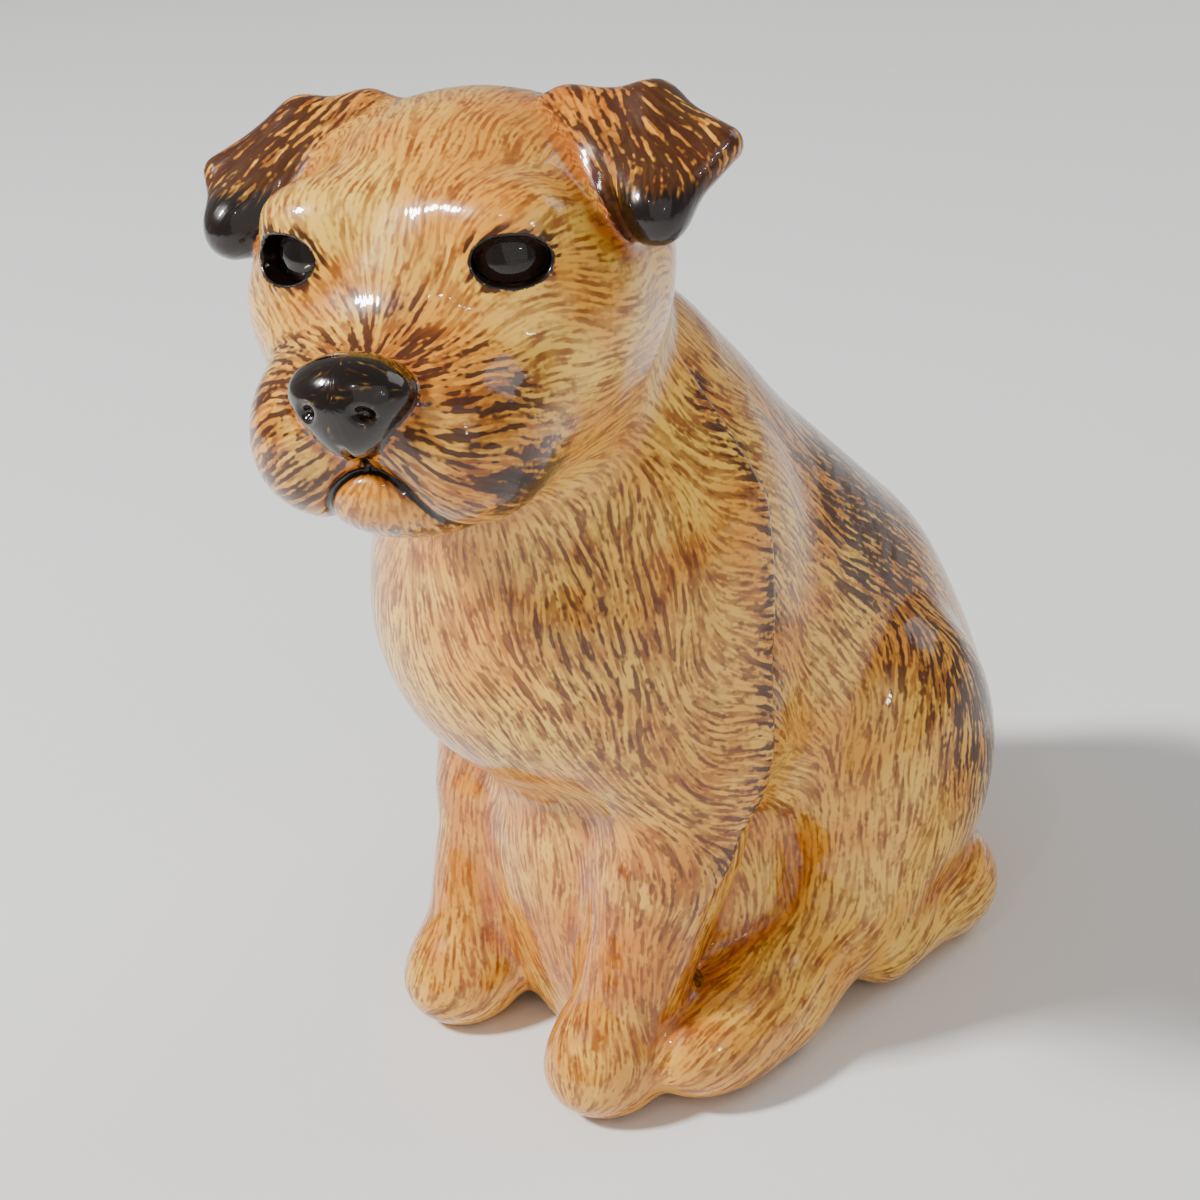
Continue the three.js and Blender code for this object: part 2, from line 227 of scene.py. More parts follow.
def shoulder_shape(side):
    ribs = CHEST_WIDTH / 2
    return blend(14,
                 egg(point(side * (ribs - 14), -CHEST_FORWARD + 12, CHEST_HEIGHT + 4),
                     point(22, 34, 50), turned(-12)),
                 taper(point(side * (ribs - 10), -CHEST_FORWARD + 14, ELBOW_HEIGHT + 26), 19,
                       point(side * (ribs - 13), -PAW_FORWARD + 25, ELBOW_HEIGHT - 6), FORELEG_WIDTH / 2 + 1))


def foreleg_shape(side):
    half = PAW_SPACING / 2
    ankle = point(side * half, -PAW_FORWARD + 5, 20)
    return blend(8,
                 taper(point(side * (half + 4), -PAW_FORWARD + 27, ELBOW_HEIGHT), FORELEG_WIDTH / 2 + 2,
                       ankle, FORELEG_WIDTH / 2 - 0.5),
                 egg(point(side * half, -PAW_FORWARD, 12), point(PAW_WIDTH / 2, PAW_WIDTH / 2 + 1.5, 14)))


def hind_leg_shape(side):
    half, foot = HAUNCH_SPACING / 2, HIND_FOOT_WIDTH / 2
    toes = point(side * (half + 5), -HIND_FOOT_FORWARD, 13)
    return blend(12,
                 egg(point(side * half, RUMP_BACK - 14, RUMP_HEIGHT + 14),
                     point(26, HAUNCH_LENGTH / 2, 44), turned(-12)),
                 taper(point(side * (half + 1), toes[1] + 46, 24), foot, toes + (0, 18, 2), foot - 4),
                 egg(toes, point(foot, foot + 10, 15), turned(0, 0, side * 8)))


def tail_shape():
    radius = TAIL_WIDTH / 2
    root = point(0, RUMP_BACK + 22, radius + 7)
    bend = point(TAIL_CURL - 6, root[1] - 24, radius)
    tip = point(TAIL_CURL, bend[1] - 29, radius - 3)
    return blend(8, taper(root, radius, bend, radius), taper(bend, radius, tip, radius - 4))


def cranium_shape():
    half = HEAD_WIDTH / 2
    brow = [egg(point(side * (EYE_SPACING / 2 - 2), -BROW_FORWARD, EYE_HEIGHT + 8.5), point(15, 9, 7))
            for side in (1, -1)]
    dome = blend(16, egg(point(0, 4.5, 8.5), point(half, half - 1.5, 36.5)),
                 egg(point(0, -7, -11.5), point(half - 2.5, half - 4.5, 36.5)))
    cheeks = [egg(point(side * (half - 19), -19, 1), point(19, 19, 20)) for side in (1, -1)]
    return blend(9, blend(10, dome, *cheeks), blend(8, *brow))


def upper_muzzle_shape():
    muzzle = MUZZLE_WIDTH / 2
    jowls = [egg(point(side * (muzzle / 2 + 1), 24 - MUZZLE_LENGTH, -24), point(17.5, 24, 19.5))
             for side in (1, -1)]
    return blend(8, egg(point(0, 30 - MUZZLE_LENGTH, -17), point(muzzle - 1, muzzle + 1, 17)), *jowls)


def jaw_shape():
    muzzle = MUZZLE_WIDTH / 2
    return egg(point(0, 32 - MUZZLE_LENGTH, -34), point(muzzle - 8, muzzle - 2, 14.5))


def nose_shape():
    half = NOSE_WIDTH / 2
    tip = -MUZZLE_LENGTH
    pad = blend(6, egg(point(0, tip, -11), point(half, half - 4, 8.5)),
                egg(point(0, tip + 1, -17), point(half - 5.5, half - 5, 8)))
    for side in (1, -1):
        nostril = egg(point(side * 6.8, tip - 9.5, -14), point(2.3, 3.6, 1.6), turned(0, side * 25, 0))
        pad = carve(pad, nostril, 1.8)
    return carve(pad, taper(point(0, tip - 11.6, -15), 0.6, point(0, tip - 8.6, -26), 0.6), 1.2)


def ear_shape(side):
    droop = EAR_DROOP if side < 0 else 0
    corner = point(side * (EAR_SPREAD / 2 + 1.5 - droop), -6 - droop * 0.5, 32.5 - droop)
    crest = point(side * (EAR_SPREAD / 2 - 16 - droop), 0, 40 - droop * 0.4)
    top = point(side * (HEAD_WIDTH / 2 - 20), 2, 39.5)
    tip = point(side * (EAR_SPREAD / 2 - 10), -17, 19 - droop * 0.7)
    root = point(side * (HEAD_WIDTH / 2 - 6), -2, 20)
    radius = EAR_THICKNESS / 2
    return blend(7, flap(crest, corner, tip, radius - 0.8), flap(top, crest, tip, radius - 0.4),
                 flap(top - (0, 0, 2.5), root, tip + (-side * 2, 1, 2), radius + 0.4))


EYES = {}
for eye_name, eye_side in (("left", 1), ("right", -1)):
    EYES[eye_name] = {
        "centre": HEAD_CENTRE + HEAD_MATRIX @ point(eye_side * EYE_SPACING / 2, -EYE_FORWARD, EYE_HEIGHT),
        "gaze": HEAD_MATRIX @ turned(0, 0, eye_side * EYE_SPLAY),
        "side": eye_side,
    }


def opening(eye, p):
    """How far outside the almond between the lids a point is, seen along the gaze."""
    q = (p - eye["centre"]) @ eye["gaze"]
    across = q[..., 0] / (EYE_OPENING[0] / 2)
    height = q[..., 2] / (EYE_OPENING[1] / 2)
    reach = np.sqrt(np.abs(across) ** 2.4 + height ** 2) + 1e-9
    inside = (reach - 1) * EYE_OPENING[1] / 2
    return np.maximum(inside, q[..., 1] + 1)


def with_eyes(shape):
    """Adds lids round each eyeball, and cuts the almond between them back to the glass."""
    def whole(p):
        value = shape(p)
        for eye in EYES.values():
            ball = np.linalg.norm(p - eye["centre"], axis=-1) - EYE_DIAMETER / 2
            value = soft_min(value, ball - LID_THICKNESS, 7)
            value = soft_max(value, -opening(eye, p), 0.7)
        return value
    return whole


def mantle(shape):
    """Thickens the chest and shoulders ahead of the crest that ends them over each flank."""
    heights, rears = np.array(MANTLE_EDGE, float).T

    def whole(p):
        value = shape(p)
        behind = p[..., 1] - np.interp(p[..., 2], heights, rears)
        step = MANTLE_STEP * ramp(p[..., 2], 36, 66) * ramp(p[..., 2], 208, 170)
        return np.minimum(value, soft_max(value - step, behind * 0.9, 1.6))
    return whole


def both(shape):
    return shape(1), shape(-1)


TORSO = blend(8, blend(22, torso_shape(), neck_shape()), *both(shoulder_shape))
TRUNK = blend(10, mantle(TORSO), base_shape())
FORELEGS = both(foreleg_shape)
HIND_LEGS = both(hind_leg_shape)
TAIL = tail_shape()
MUZZLE = on_head(upper_muzzle_shape())
JAW = on_head(jaw_shape())
SKULL = blend(2.5, on_head(blend(10, cranium_shape(), upper_muzzle_shape())), JAW)
NOSE = on_head(nose_shape())
EARS = tuple(on_head(ear_shape(side)) for side in (1, -1))
BODY = blend(4, blend(7, TRUNK, *FORELEGS), *HIND_LEGS, TAIL)
FACE = blend(2, SKULL, NOSE)
HEAD = with_eyes(blend(5, FACE, *EARS))
VENT = taper(point(0, RUMP_BACK - 22, -20), VENT_DIAMETER / 2,
             point(0, RUMP_BACK - 22, 12), VENT_DIAMETER / 2)
UPRIGHT = blend(6, BODY, HEAD)


def mouth_line(p, q):
    """1 on the line between the lips and on the groove under the nose, fading to 0 beside them."""
    upper, lower = MUZZLE(p), JAW(p)
    lips = np.exp(-((upper - lower) / 1.2) ** 2) * ramp(q[..., 1], -22, -30) * ramp(q[..., 2], -20, -28)
    groove = np.exp(-(q[..., 0] / 1.0) ** 2) * ramp(q[..., 2], -20, -23) * ramp(lower - upper, -0.4, 0.8)
    return np.maximum(lips, groove * ramp(q[..., 1], -40, -50))


def dog(p):
    q = to_head(p)
    value = UPRIGHT(p) + 1.1 * mouth_line(p, q)
    value = soft_max(value, -p[..., 2], 1.2)
    return soft_max(value, -VENT(p), 0.8)


# ---- meshing ----

def slope(shape, p, step=0.03):
    centre = shape(p)
    rises = [shape(p + np.eye(3)[k] * step) - centre for k in range(3)]
    return centre, np.stack(rises, -1) / step


def settle(shape, p, reach, rounds=2):
    """Draws points onto the surface."""
    for _ in range(rounds):
        value, normal = slope(shape, p)
        pull = value / np.maximum((normal * normal).sum(-1), 0.05)
        p = p - normal * np.clip(pull, -reach, reach)[:, None]
    return p


def first_skin(shape, low, high, cell):
    """Closed triangle mesh with one vertex in each grid cell that the surface crosses."""
    axes = [np.arange(low[k], high[k] + cell, cell) for k in range(3)]
    size = [len(a) for a in axes]
    values = np.empty(size)
    for i, x in enumerate(axes[0]):
        y, z = np.meshgrid(axes[1], axes[2], indexing="ij")
        values[i] = shape(np.stack([np.full_like(y, x), y, z], -1))
    inside = values < 0
    total, count = np.zeros([*size, 3]), np.zeros(size)
    grid = np.stack(np.meshgrid(*axes, indexing="ij"), -1)
    quads = []
    for a in range(3):
        b, c = (a + 1) % 3, (a + 2) % 3
        near = [slice(None)] * 3
        far = [slice(None)] * 3
        near[a], far[a] = slice(0, -1), slice(1, None)
        near, far = tuple(near), tuple(far)
        cross = np.argwhere(inside[near] != inside[far])
        ahead = cross.copy()
        ahead[:, a] += 1
        one, other = values[tuple(cross.T)], values[tuple(ahead.T)]
        place = grid[tuple(cross.T)].copy()
        place[:, a] += cell * one / (one - other)
        ring = []
        for u, v in ((0, 0), (1, 0), (1, 1), (0, 1)):
            cells = cross.copy()
            cells[:, b] -= u
            cells[:, c] -= v
            np.add.at(total, tuple(cells.T), place)
            np.add.at(count, tuple(cells.T), 1)
            ring.append(np.ravel_multi_index(tuple(cells.T), size))
        ring = np.stack(ring, 1)
        outward = one < 0
        ring[~outward] = ring[~outward][:, ::-1]
        quads.append(ring)
    quads = np.concatenate(quads)
    used, compact = np.unique(quads, return_inverse=True)
    quads = compact.reshape(quads.shape)
    vertices = (total.reshape(-1, 3) / np.maximum(count.reshape(-1, 1), 1))[used]
    return vertices, np.concatenate([quads[:, [0, 1, 2]], quads[:, [0, 2, 3]]])


def parted(vertices, faces):
    """Gives each sheet of skin its own vertices where two sheets touch along an edge."""
    pairs = np.sort(np.concatenate([faces[:, [0, 1]], faces[:, [1, 2]], faces[:, [2, 0]]]), 1)
    edges, count = np.unique(pairs, axis=0, return_counts=True)
    shared = {tuple(edge) for edge in edges[count > 2].tolist()}
    faces = faces.copy()
    fresh = []
    for vertex in sorted({v for edge in shared for v in edge}):
        around = np.flatnonzero((faces == vertex).any(1)).tolist()
        start = around[0]
        sheet, waiting = {start}, [start]
        while waiting:
            mine = set(faces[waiting.pop()].tolist()) - {vertex}
            for other in around:
                common = mine & set(faces[other].tolist()) if other not in sheet else ()
                if any(tuple(sorted((vertex, w))) not in shared for w in common):
                    sheet.add(other)
                    waiting.append(other)
        apart = [k for k in around if k not in sheet]
        if apart:
            rows = faces[apart]
            rows[rows == vertex] = len(vertices) + len(fresh)
            faces[apart] = rows
            fresh.append(vertices[vertex])
    return np.concatenate([vertices, *[v[None] for v in fresh]]), faces


def split(vertices, faces, chosen):
    """Splits edges and the faces beside them. chosen(edges) gives which edges, and a point on each."""
    corners = np.stack([faces, np.roll(faces, -1, 1)], -1)
    edges, where = np.unique(np.sort(corners.reshape(-1, 2), 1), axis=0, return_inverse=True)
    cut, places = chosen(edges)
    number = np.full(len(edges), -1)
    number[cut] = len(vertices) + np.arange(cut.sum())
    vertices = np.concatenate([vertices, places[cut]])
    marks = number[where.reshape(-1, 3)]
    count = (marks >= 0).sum(1)
    result = [faces[count == 0]]
    for turns in range(3):
        f, m = np.roll(faces, -turns, 1), np.roll(marks, -turns, 1)
        one = (count == 1) & (m[:, 0] >= 0)
        a, b, c, ab = f[one, 0], f[one, 1], f[one, 2], m[one, 0]
        result += [np.stack([a, ab, c], 1), np.stack([ab, b, c], 1)]
        two = (count == 2) & (m[:, 2] < 0)
        a, b, c, ab, bc = f[two, 0], f[two, 1], f[two, 2], m[two, 0], m[two, 1]
        result += [np.stack([ab, b, bc], 1), np.stack([a, ab, bc], 1), np.stack([a, bc, c], 1)]
    f, m = faces[count == 3], marks[count == 3]
    result += [np.stack([f[:, 0], m[:, 0], m[:, 2]], 1), np.stack([m[:, 0], f[:, 1], m[:, 1]], 1),
               np.stack([m[:, 2], m[:, 1], f[:, 2]], 1), m]
    return vertices, np.concatenate(result)


def split_long(vertices, faces, target):
    def chosen(edges):
        ends = vertices[edges]
        middle = ends.mean(1)
        return np.linalg.norm(ends[:, 0] - ends[:, 1], axis=1) > target(middle), middle
    return split(vertices, faces, chosen)


def split_along(vertices, faces, border):
    """Splits faces along the line where border is 0. Vertices that are almost on it count as on it."""
    level = border(vertices)
    level[np.abs(level) < 0.15] = 0

    def chosen(edges):
        one, other = level[edges[:, 0]], level[edges[:, 1]]
        share = one / np.where(one == other, 1, one - other)
        places = vertices[edges[:, 0]] + (vertices[edges[:, 1]] - vertices[edges[:, 0]]) * share[:, None]
        return one * other < 0, places
    signs = np.sign(level[faces])
    mixed = (signs.min(1) < 0) & (signs.max(1) > 0)
    vertices, parts = split(vertices, faces[mixed], chosen)
    return vertices, np.concatenate([faces[~mixed], parts])


FIRST_CELL = 2.6
BODY_EDGE = 1.9
HEAD_EDGE = 1.35
FACE_EDGE = 0.6


def edge_target(p):
    q = to_head(p)
    on_face = (q[:, 1] < -18) & (q[:, 2] > -54) & (q[:, 2] < 30) & (np.abs(q[:, 0]) < 42)
    fine = np.zeros(len(p), bool)
    for eye in EYES.values():
        fine |= np.linalg.norm(p - eye["centre"], axis=1) < EYE_DIAMETER / 2 + 4
    fine |= on_face & (NOSE(p) < 2.5)
    fine |= on_face & (np.abs(MUZZLE(p) - JAW(p)) < 2.5) & (q[:, 2] < -22)
    head = q[:, 2] > -60
    return np.where(fine, FACE_EDGE, np.where(head, HEAD_EDGE, BODY_EDGE))


def dog_surface():
    vertices, faces = parted(*first_skin(dog, point(-76, -150, -6), point(76, 92, 268), FIRST_CELL))
    vertices = settle(dog, vertices, FIRST_CELL / 3)
    for _ in range(3):
        vertices, faces = split_long(vertices, faces, edge_target)
        vertices = settle(dog, vertices, FIRST_CELL / 4, 1)
    return settle(dog, vertices, 0.3, 2), faces


# ---- pieces ----

WALL_DEPTH = 0.9
WALL_RINGS = (0.06, 0.14, 0.3, 0.5, 0.75)

NECK_POINT = point(0, -CHEST_FORWARD + 2, HEAD_HEIGHT - 32)
NECK_AXIS = point(0, -20, 46) / math.hypot(20, 46)


def region(lump, neighbour):
    """Negative in and round a lump, where it stands clear of its neighbour."""
    return lambda p: soft_max(lump(p) - JOINT_MARGIN, -neighbour(p) - JOINT_DEPTH, 6)


def below_neck(p):
    return (p - NECK_POINT) @ NECK_AXIS


JOINTS = {
    "nose": region(NOSE, SKULL),
    "left_ear": region(EARS[0], SKULL),
    "right_ear": region(EARS[1], SKULL),
    "left_foreleg": region(FORELEGS[0], TRUNK),
    "right_foreleg": region(FORELEGS[1], TRUNK),
    "left_hind_leg": region(HIND_LEGS[0], TRUNK),
    "right_hind_leg": region(HIND_LEGS[1], TRUNK),
    "tail": region(TAIL, TRUNK),
}


HEAD_PARTS = ("nose", "left_ear", "right_ear")


def components(faces, count):
    """The number of the connected part that each face is in."""
    label = np.arange(count)
    while True:
        low = label[faces].min(1)
        fresh = label.copy()
        np.minimum.at(fresh, faces.ravel(), np.repeat(low, 3))
        fresh = fresh[fresh]
        if (fresh == label).all():
            return label[faces[:, 0]]
        label = fresh


def label_faces(vertices, faces):
    middle = vertices[faces].mean(1)
    above = below_neck(middle) > 0
    labels = np.where(above, "head_shell", "body_shell").astype("U20")
    for name, border in JOINTS.items():
        own = "head_shell" if name in HEAD_PARTS else "body_shell"
        free = np.flatnonzero(labels == own)
        inside = free[border(middle[free]) < 0]
        parts = components(faces[inside], len(vertices))
        names, sizes = np.unique(parts, return_counts=True)
        labels[inside[parts == names[sizes.argmax()]]] = name
    for own in ("head_shell", "body_shell"):
        members = np.flatnonzero(labels == own)
        parts = components(faces[members], len(vertices))
        names, sizes = np.unique(parts, return_counts=True)
        for part in names[sizes < sizes.max()]:
            stray = members[parts == part]
            touching = np.isin(faces, faces[stray]).any(1)
            beside = [x for x in labels[touching] if x != own]
            labels[stray] = beside[0]
    return labels


def loops(faces):
    """The open borders of a set of faces, each a ring of vertices in the direction of its faces."""
    directed = np.concatenate([faces[:, [0, 1]], faces[:, [1, 2]], faces[:, [2, 0]]])
    existing = set(map(tuple, directed.tolist()))
    after = {}
    for a, b in directed.tolist():
        if (b, a) not in existing:
            after.setdefault(a, []).append(b)
    found = []
    while after:
        start = next(iter(after))
        ring = [start]
        while True:
            onward = after[ring[-1]].pop()
            if not after[ring[-1]]:
                del after[ring[-1]]
            if onward == start:
                break
            ring.append(onward)
        found.append(ring)
    return found


def sunk(p):
    """Negative where a point is deeper under the skin than a joint's wall has to be."""
    return dog(p) + WALL_DEPTH


def inner_wall(vertices, ring, joint):
    """A wall across a ring, drawn onto the joint surface: its own points, and its faces."""
    centre = vertices[ring].mean(0)
    rings = [vertices[ring] * (1 - share) + centre * share for share in WALL_RINGS]
    inside = settle(joint, np.concatenate([*rings, centre[None]]), 30, 6)
    for _ in range(3):
        inside = np.where((dog(inside) > -0.8)[:, None], settle(sunk, inside, 6, 4), inside)
    count, outer, sheets = len(vertices), ring, []
    for k in range(len(rings)):
        inner = count + k * len(ring) + np.arange(len(ring))
        sheets += [np.stack([outer, inner, np.roll(inner, -1)], 1),
                   np.stack([outer, np.roll(inner, -1), np.roll(outer, -1)], 1)]
        outer = inner
    tip = np.full(len(ring), count + len(inside) - 1)
    sheets.append(np.stack([outer, tip, np.roll(outer, -1)], 1))
    wall, points = np.concatenate(sheets), np.concatenate([vertices, inside])

    def standing_proud(edges):
        middle = points[edges].mean(1)
        return (edges >= len(vertices)).any(1) & (dog(middle) > -0.2), settle(sunk, middle, 5, 5)

    for _ in range(4):
        points, wall = split(points, wall, standing_proud)
    return points[len(vertices):], wall


# ---- paint: the direction of the brush strokes and where each colour goes ----

def unit(v):
    return v / np.maximum(np.linalg.norm(v, axis=-1, keepdims=True), 1e-9)


def ripple(p, seed, size):
    """Gentle waves between -1 and 1, about size millimetres across."""
    total = np.zeros(len(p))
    for k in range(4):
        way = turned(37 * k + 11 * seed, 61 * k + 5 * seed, 83 * k + 29 * seed)[0]
        total += np.sin(p @ way * 2 * math.pi / size / (1 + 0.37 * k) + 1.7 * k + seed)
    return total / 2.6


def stroke_field(p, normal):
    """The direction that the strokes run in at each point of the surface."""
    q = to_head(p)
    side = np.sign(p[:, 0])
    one = np.ones(len(p))

    def field(x, y, z):
        return unit(np.stack([x * one, y * one, z * one], -1))

    chest = field(p[:, 0] * 0.012, -0.15, -1)
    flank = field(0.1 * side, 0.62, -0.78)
    edge = np.interp(p[:, 2], *np.array(MANTLE_EDGE, float).T)
    rear = ramp(edge - p[:, 1], 34, 4)
    body = chest * (1 - rear)[:, None] + (0.35 * flank + field(0, 1, -0.18)) * rear[:, None]
    behind = ramp(p[:, 1] - edge, -1, 2)[:, None]
    body = body * (1 - behind) + flank * behind
    low = ramp(p[:, 2], 70, 40)[:, None]
    body = body * (1 - low) + field(0, -0.35, -1) * low

    def lay(onto, way, share):
        return onto * (1 - share[:, None]) + way * share[:, None]

    for k in (0, 1):
        paw = ramp(p[:, 2], 24, 10)[:, None]
        leg = field(0, -0.25, -1) * (1 - paw) + field(0, -1, -0.6) * paw
        body = lay(body, leg, ramp(FORELEGS[k](p), 7, -1))
        foot = ramp(p[:, 2], 40, 20)[:, None] * ramp(p[:, 1], 10, -16)[:, None]
        haunch = field(0, -0.1, -1) * (1 - foot) + field(0, -1, -0.3) * foot
        body = lay(body, haunch, ramp(HIND_LEGS[k](p), 5, -1))
    curl = ramp(p[:, 0], 4, 34)[:, None]
    along_tail = field(1, -0.1, -0.1) * (1 - curl) + field(0.45, -0.85, -0.2) * curl
    body = lay(body, along_tail, ramp(TAIL(p), 4, -1))

    head = unit(q - point(0, -MUZZLE_LENGTH, -12))
    head = head + field(0, 0, -1) * (1.3 * ramp(q[:, 1], -14, 34))[:, None]
    for k, ear_side in ((0, 1), (1, -1)):
        head = lay(head, field(ear_side * 0.5, -0.35, -0.8), ramp(EARS[k](p), 3, 0))
    body = lay(body, unit(head) @ HEAD_MATRIX.T, ramp(below_neck(p), -12, 6))
    body = body - normal * (body * normal).sum(-1, keepdims=True)
    body = unit(body)
    across = np.cross(normal, body)
    swing = 0.34 * ripple(p, 1, 34) + 0.2 * ripple(p, 2, 13)
    return unit(body + across * swing[:, None])


def hollowness(shape, p, reach=3.0):
    """How much the surface curves inwards, from 0 to 1."""
    rise = -6 * shape(p)
    for k in range(3):
        step = np.eye(3)[k] * reach
        rise += shape(p + step) + shape(p - step)
    return np.clip(-rise / reach ** 2 * 7, 0, 1)


SADDLE_PLACE, SADDLE_SIZE = (30, 30, 130), (36, 30, 34)
RUMP_PATCH_PLACE, RUMP_PATCH_SIZE = (60, 38, 68), (20, 17, 26)


def patch(p, place, size):
    """1 in the middle of a soft-edged patch, fading to 0 outside it."""
    return np.exp(-(((p - place) / size) ** 2).sum(-1))


def paint_layers(p):
    """Shares of dark strokes, of pale glaze with few strokes, of solid dark paint and of the orange wash."""
    q = to_head(p)
    side = np.abs(q[:, 0])
    on_head = ramp(below_neck(p), -8, 4)
    nose_gap = np.linalg.norm((q - point(0, -MUZZLE_LENGTH + 8, -14)) * (0.9, 1, 1), axis=1)
    muzzle = ramp(MUZZLE(p), 5, 0) * ramp(q[:, 1], -12, -24)
    jaw = ramp(JAW(p), 4, 0)
    ears = np.maximum(ramp(EARS[0](p), 2.5, 0), ramp(EARS[1](p), 2.5, 0))
    edge = np.interp(p[:, 2], *np.array(MANTLE_EDGE, float).T)

    umber = 0.24 + 0.10 * ripple(p, 3, 50)
    rear = np.exp(-((edge - 1 - p[:, 1]) / 5) ** 2) * ramp(p[:, 2], 50, 75)
    umber += 0.4 * rear
    beside = np.stack([np.abs(p[:, 0]), p[:, 1], p[:, 2]], -1)
    umber += 0.9 * patch(beside, SADDLE_PLACE, SADDLE_SIZE)
    umber += 0.85 * patch(beside, RUMP_PATCH_PLACE, RUMP_PATCH_SIZE)
    # More dark strokes on the front of the chest: partly its own darker paint, partly the head's shadow
    # painted on.
    umber += 0.12 * ramp(p[:, 2], 40, 70) * ramp(p[:, 1], 0, -30)
    umber = umber * (1 - on_head) + on_head * (0.16 + 0.05 * ripple(p, 3, 30))
    brush = ramp(nose_gap, 46, 26) * np.maximum(muzzle, jaw)
    brush *= 1 - 0.75 * ramp(MUZZLE(p) - JAW(p), 0, 2) * ramp(q[:, 2], -26, -30)
    bridge = ramp(side, 17, 8) * ramp(q[:, 2], -12, -4) * ramp(q[:, 1], -26, -36) * ramp(q[:, 2], 14, 4)
    jowl = ramp(side, 17, 30) * ramp(q[:, 2], -14, -30) * muzzle
    chin = ramp(q[:, 2], -36, -47) * jaw
    umber = np.maximum(umber, 0.62 * brush)
    umber = np.maximum(umber, 0.55 * bridge)
    umber = np.maximum(umber, 0.85 * jowl)
    umber = np.maximum(umber, 0.9 * chin)

    bare_and_highlight = 0.15 * np.ones(len(p))
    cheek = patch(np.stack([side, q[:, 1], q[:, 2]], -1), (27, -32, -8), (12, 14, 9))
    forehead = patch(q, (0, -22, 26), (9, 20, 14))
    bare_and_highlight += 0.6 * on_head * np.maximum(cheek, 0.6 * forehead)
    bare_and_highlight += 0.45 * ramp(p[:, 2], 26, 10)
    # A pale patch with few strokes on the front of each haunch is a painted highlight.
    bare_and_highlight += 0.35 * patch(beside, (58, -2, 74), (16, 20, 22))

    ink = np.zeros(len(p))
    for eye in EYES.values():
        ball = np.linalg.norm(p - eye["centre"], axis=1)
        rim = np.maximum(opening(eye, p), 0)
        near = ramp(ball, EYE_DIAMETER / 2 + 7, EYE_DIAMETER / 2 + 4)
        ink = np.maximum(ink, ramp(rim, 1.1, 0.3) * near)
        umber = np.maximum(umber, 0.7 * ramp(rim, 4.5, 1) * near)
    ink = np.maximum(ink, ramp(mouth_line(p, q), 0.25, 0.75) * (1 - ramp(NOSE(p), 1, 0)))
    tip_height = np.clip((31 - q[:, 2]) / 12, 0, 1)
    ink = np.maximum(ink, ears * ramp(tip_height, 0.05, 1.0) * 0.9)
    umber = np.maximum(umber, ears * (0.62 + 0.38 * ramp(side, 30, 40)))
    nose = ramp(NOSE(p), 0.9, 0.1)
    ink = np.maximum(ink, 0.76 * nose)
    umber = np.maximum(umber, nose)
    ink = np.maximum(ink, 0.6 * ramp(side, 20, 31) * ramp(q[:, 2], -22, -33) * np.maximum(muzzle, jaw))

    # The orange wash deepens in each crease and hollow: paint pooled there, and painted shade.
    crease_pooling_and_shade = hollowness(UPRIGHT, p)
    amber = 0.25 + 0.2 * ripple(p, 5, 60) + 0.75 * crease_pooling_and_shade
    amber += 0.35 * ramp(p[:, 2], 100, 70) * ramp(p[:, 1], -30, -60)
    amber += 0.25 * on_head * muzzle
    root = ears * ramp(side, 34, 25)
    amber = np.maximum(amber, 0.8 * root)
    return [np.clip(layer, 0, 1) for layer in (umber, bare_and_highlight * (1 - ears), ink, amber)]


# ---- materials ----

class Tree:
    """A short way to write shader nodes."""

    def __init__(self, tree):
        self.tree = tree

    def node(self, kind, inputs=(), **settings):
        made = self.tree.nodes.new(kind)
        for key, value in settings.items():
            setattr(made, key, value)
        for key, value in dict(inputs).items():
            if isinstance(value, bpy.types.NodeSocket):
                self.tree.links.new(value, made.inputs[key])
            else:
                made.inputs[key].default_value = value
        return made

    def math(self, operation, *values):
        made = self.node("ShaderNodeMath", operation=operation)
        for k, value in enumerate(values):
            if isinstance(value, bpy.types.NodeSocket):
                self.tree.links.new(value, made.inputs[k])
            else:
                made.inputs[k].default_value = value
        return made.outputs[0]

    def vector(self, operation, *values):
        made = self.node("ShaderNodeVectorMath", operation=operation)
        for k, value in enumerate(values):
            if isinstance(value, bpy.types.NodeSocket):
                self.tree.links.new(value, made.inputs[k])
            else:
                made.inputs[k].default_value = value
        return made.outputs[0]

    def scaled(self, vector, size):
        made = self.node("ShaderNodeVectorMath", operation="SCALE")
        self.tree.links.new(vector, made.inputs[0])
        made.inputs["Scale"].default_value = size
        return made.outputs[0]

    def between(self, value, low, high, start=0.0, end=1.0):
        return self.node("ShaderNodeMapRange", {0: value, 1: low, 2: high, 3: start, 4: end},
                         interpolation_type="SMOOTHSTEP").outputs[0]

    def mixed(self, share, one, other):
        made = self.node("ShaderNodeMix", data_type="RGBA")
        for key, value in ((0, share), (6, one), (7, other)):
            if isinstance(value, bpy.types.NodeSocket):
                self.tree.links.new(value, made.inputs[key])
            else:
                made.inputs[key].default_value = value
        return made.outputs[2]

    def noise(self, place, scale, detail=0.0, roughness=0.5):
        return self.node("ShaderNodeTexNoise", {"Vector": place, "Scale": scale, "Detail": detail,
                                                "Roughness": roughness}).outputs["Fac"]


def colour(red, green, blue):
    """A linear colour from its display values out of 255."""
    def straight(c):
        c = c / 255
        return c / 12.92 if c <= 0.04045 else ((c + 0.055) / 1.055) ** 2.4
    return (straight(red), straight(green), straight(blue), 1.0)


CREAM = colour(255, 204, 84)
HONEY = colour(238, 160, 44)
ORANGE = colour(192, 98, 16)
SIENNA = colour(136, 66, 13)
UMBER = colour(104, 43, 9)
BROWN = colour(58, 23, 6)
INK = colour(20, 8, 4)
STROKE_STEPS = 11
STROKE_LENGTH = 5.5
FINE_GRAIN = 0.95
BOLD_GRAIN = 0.8


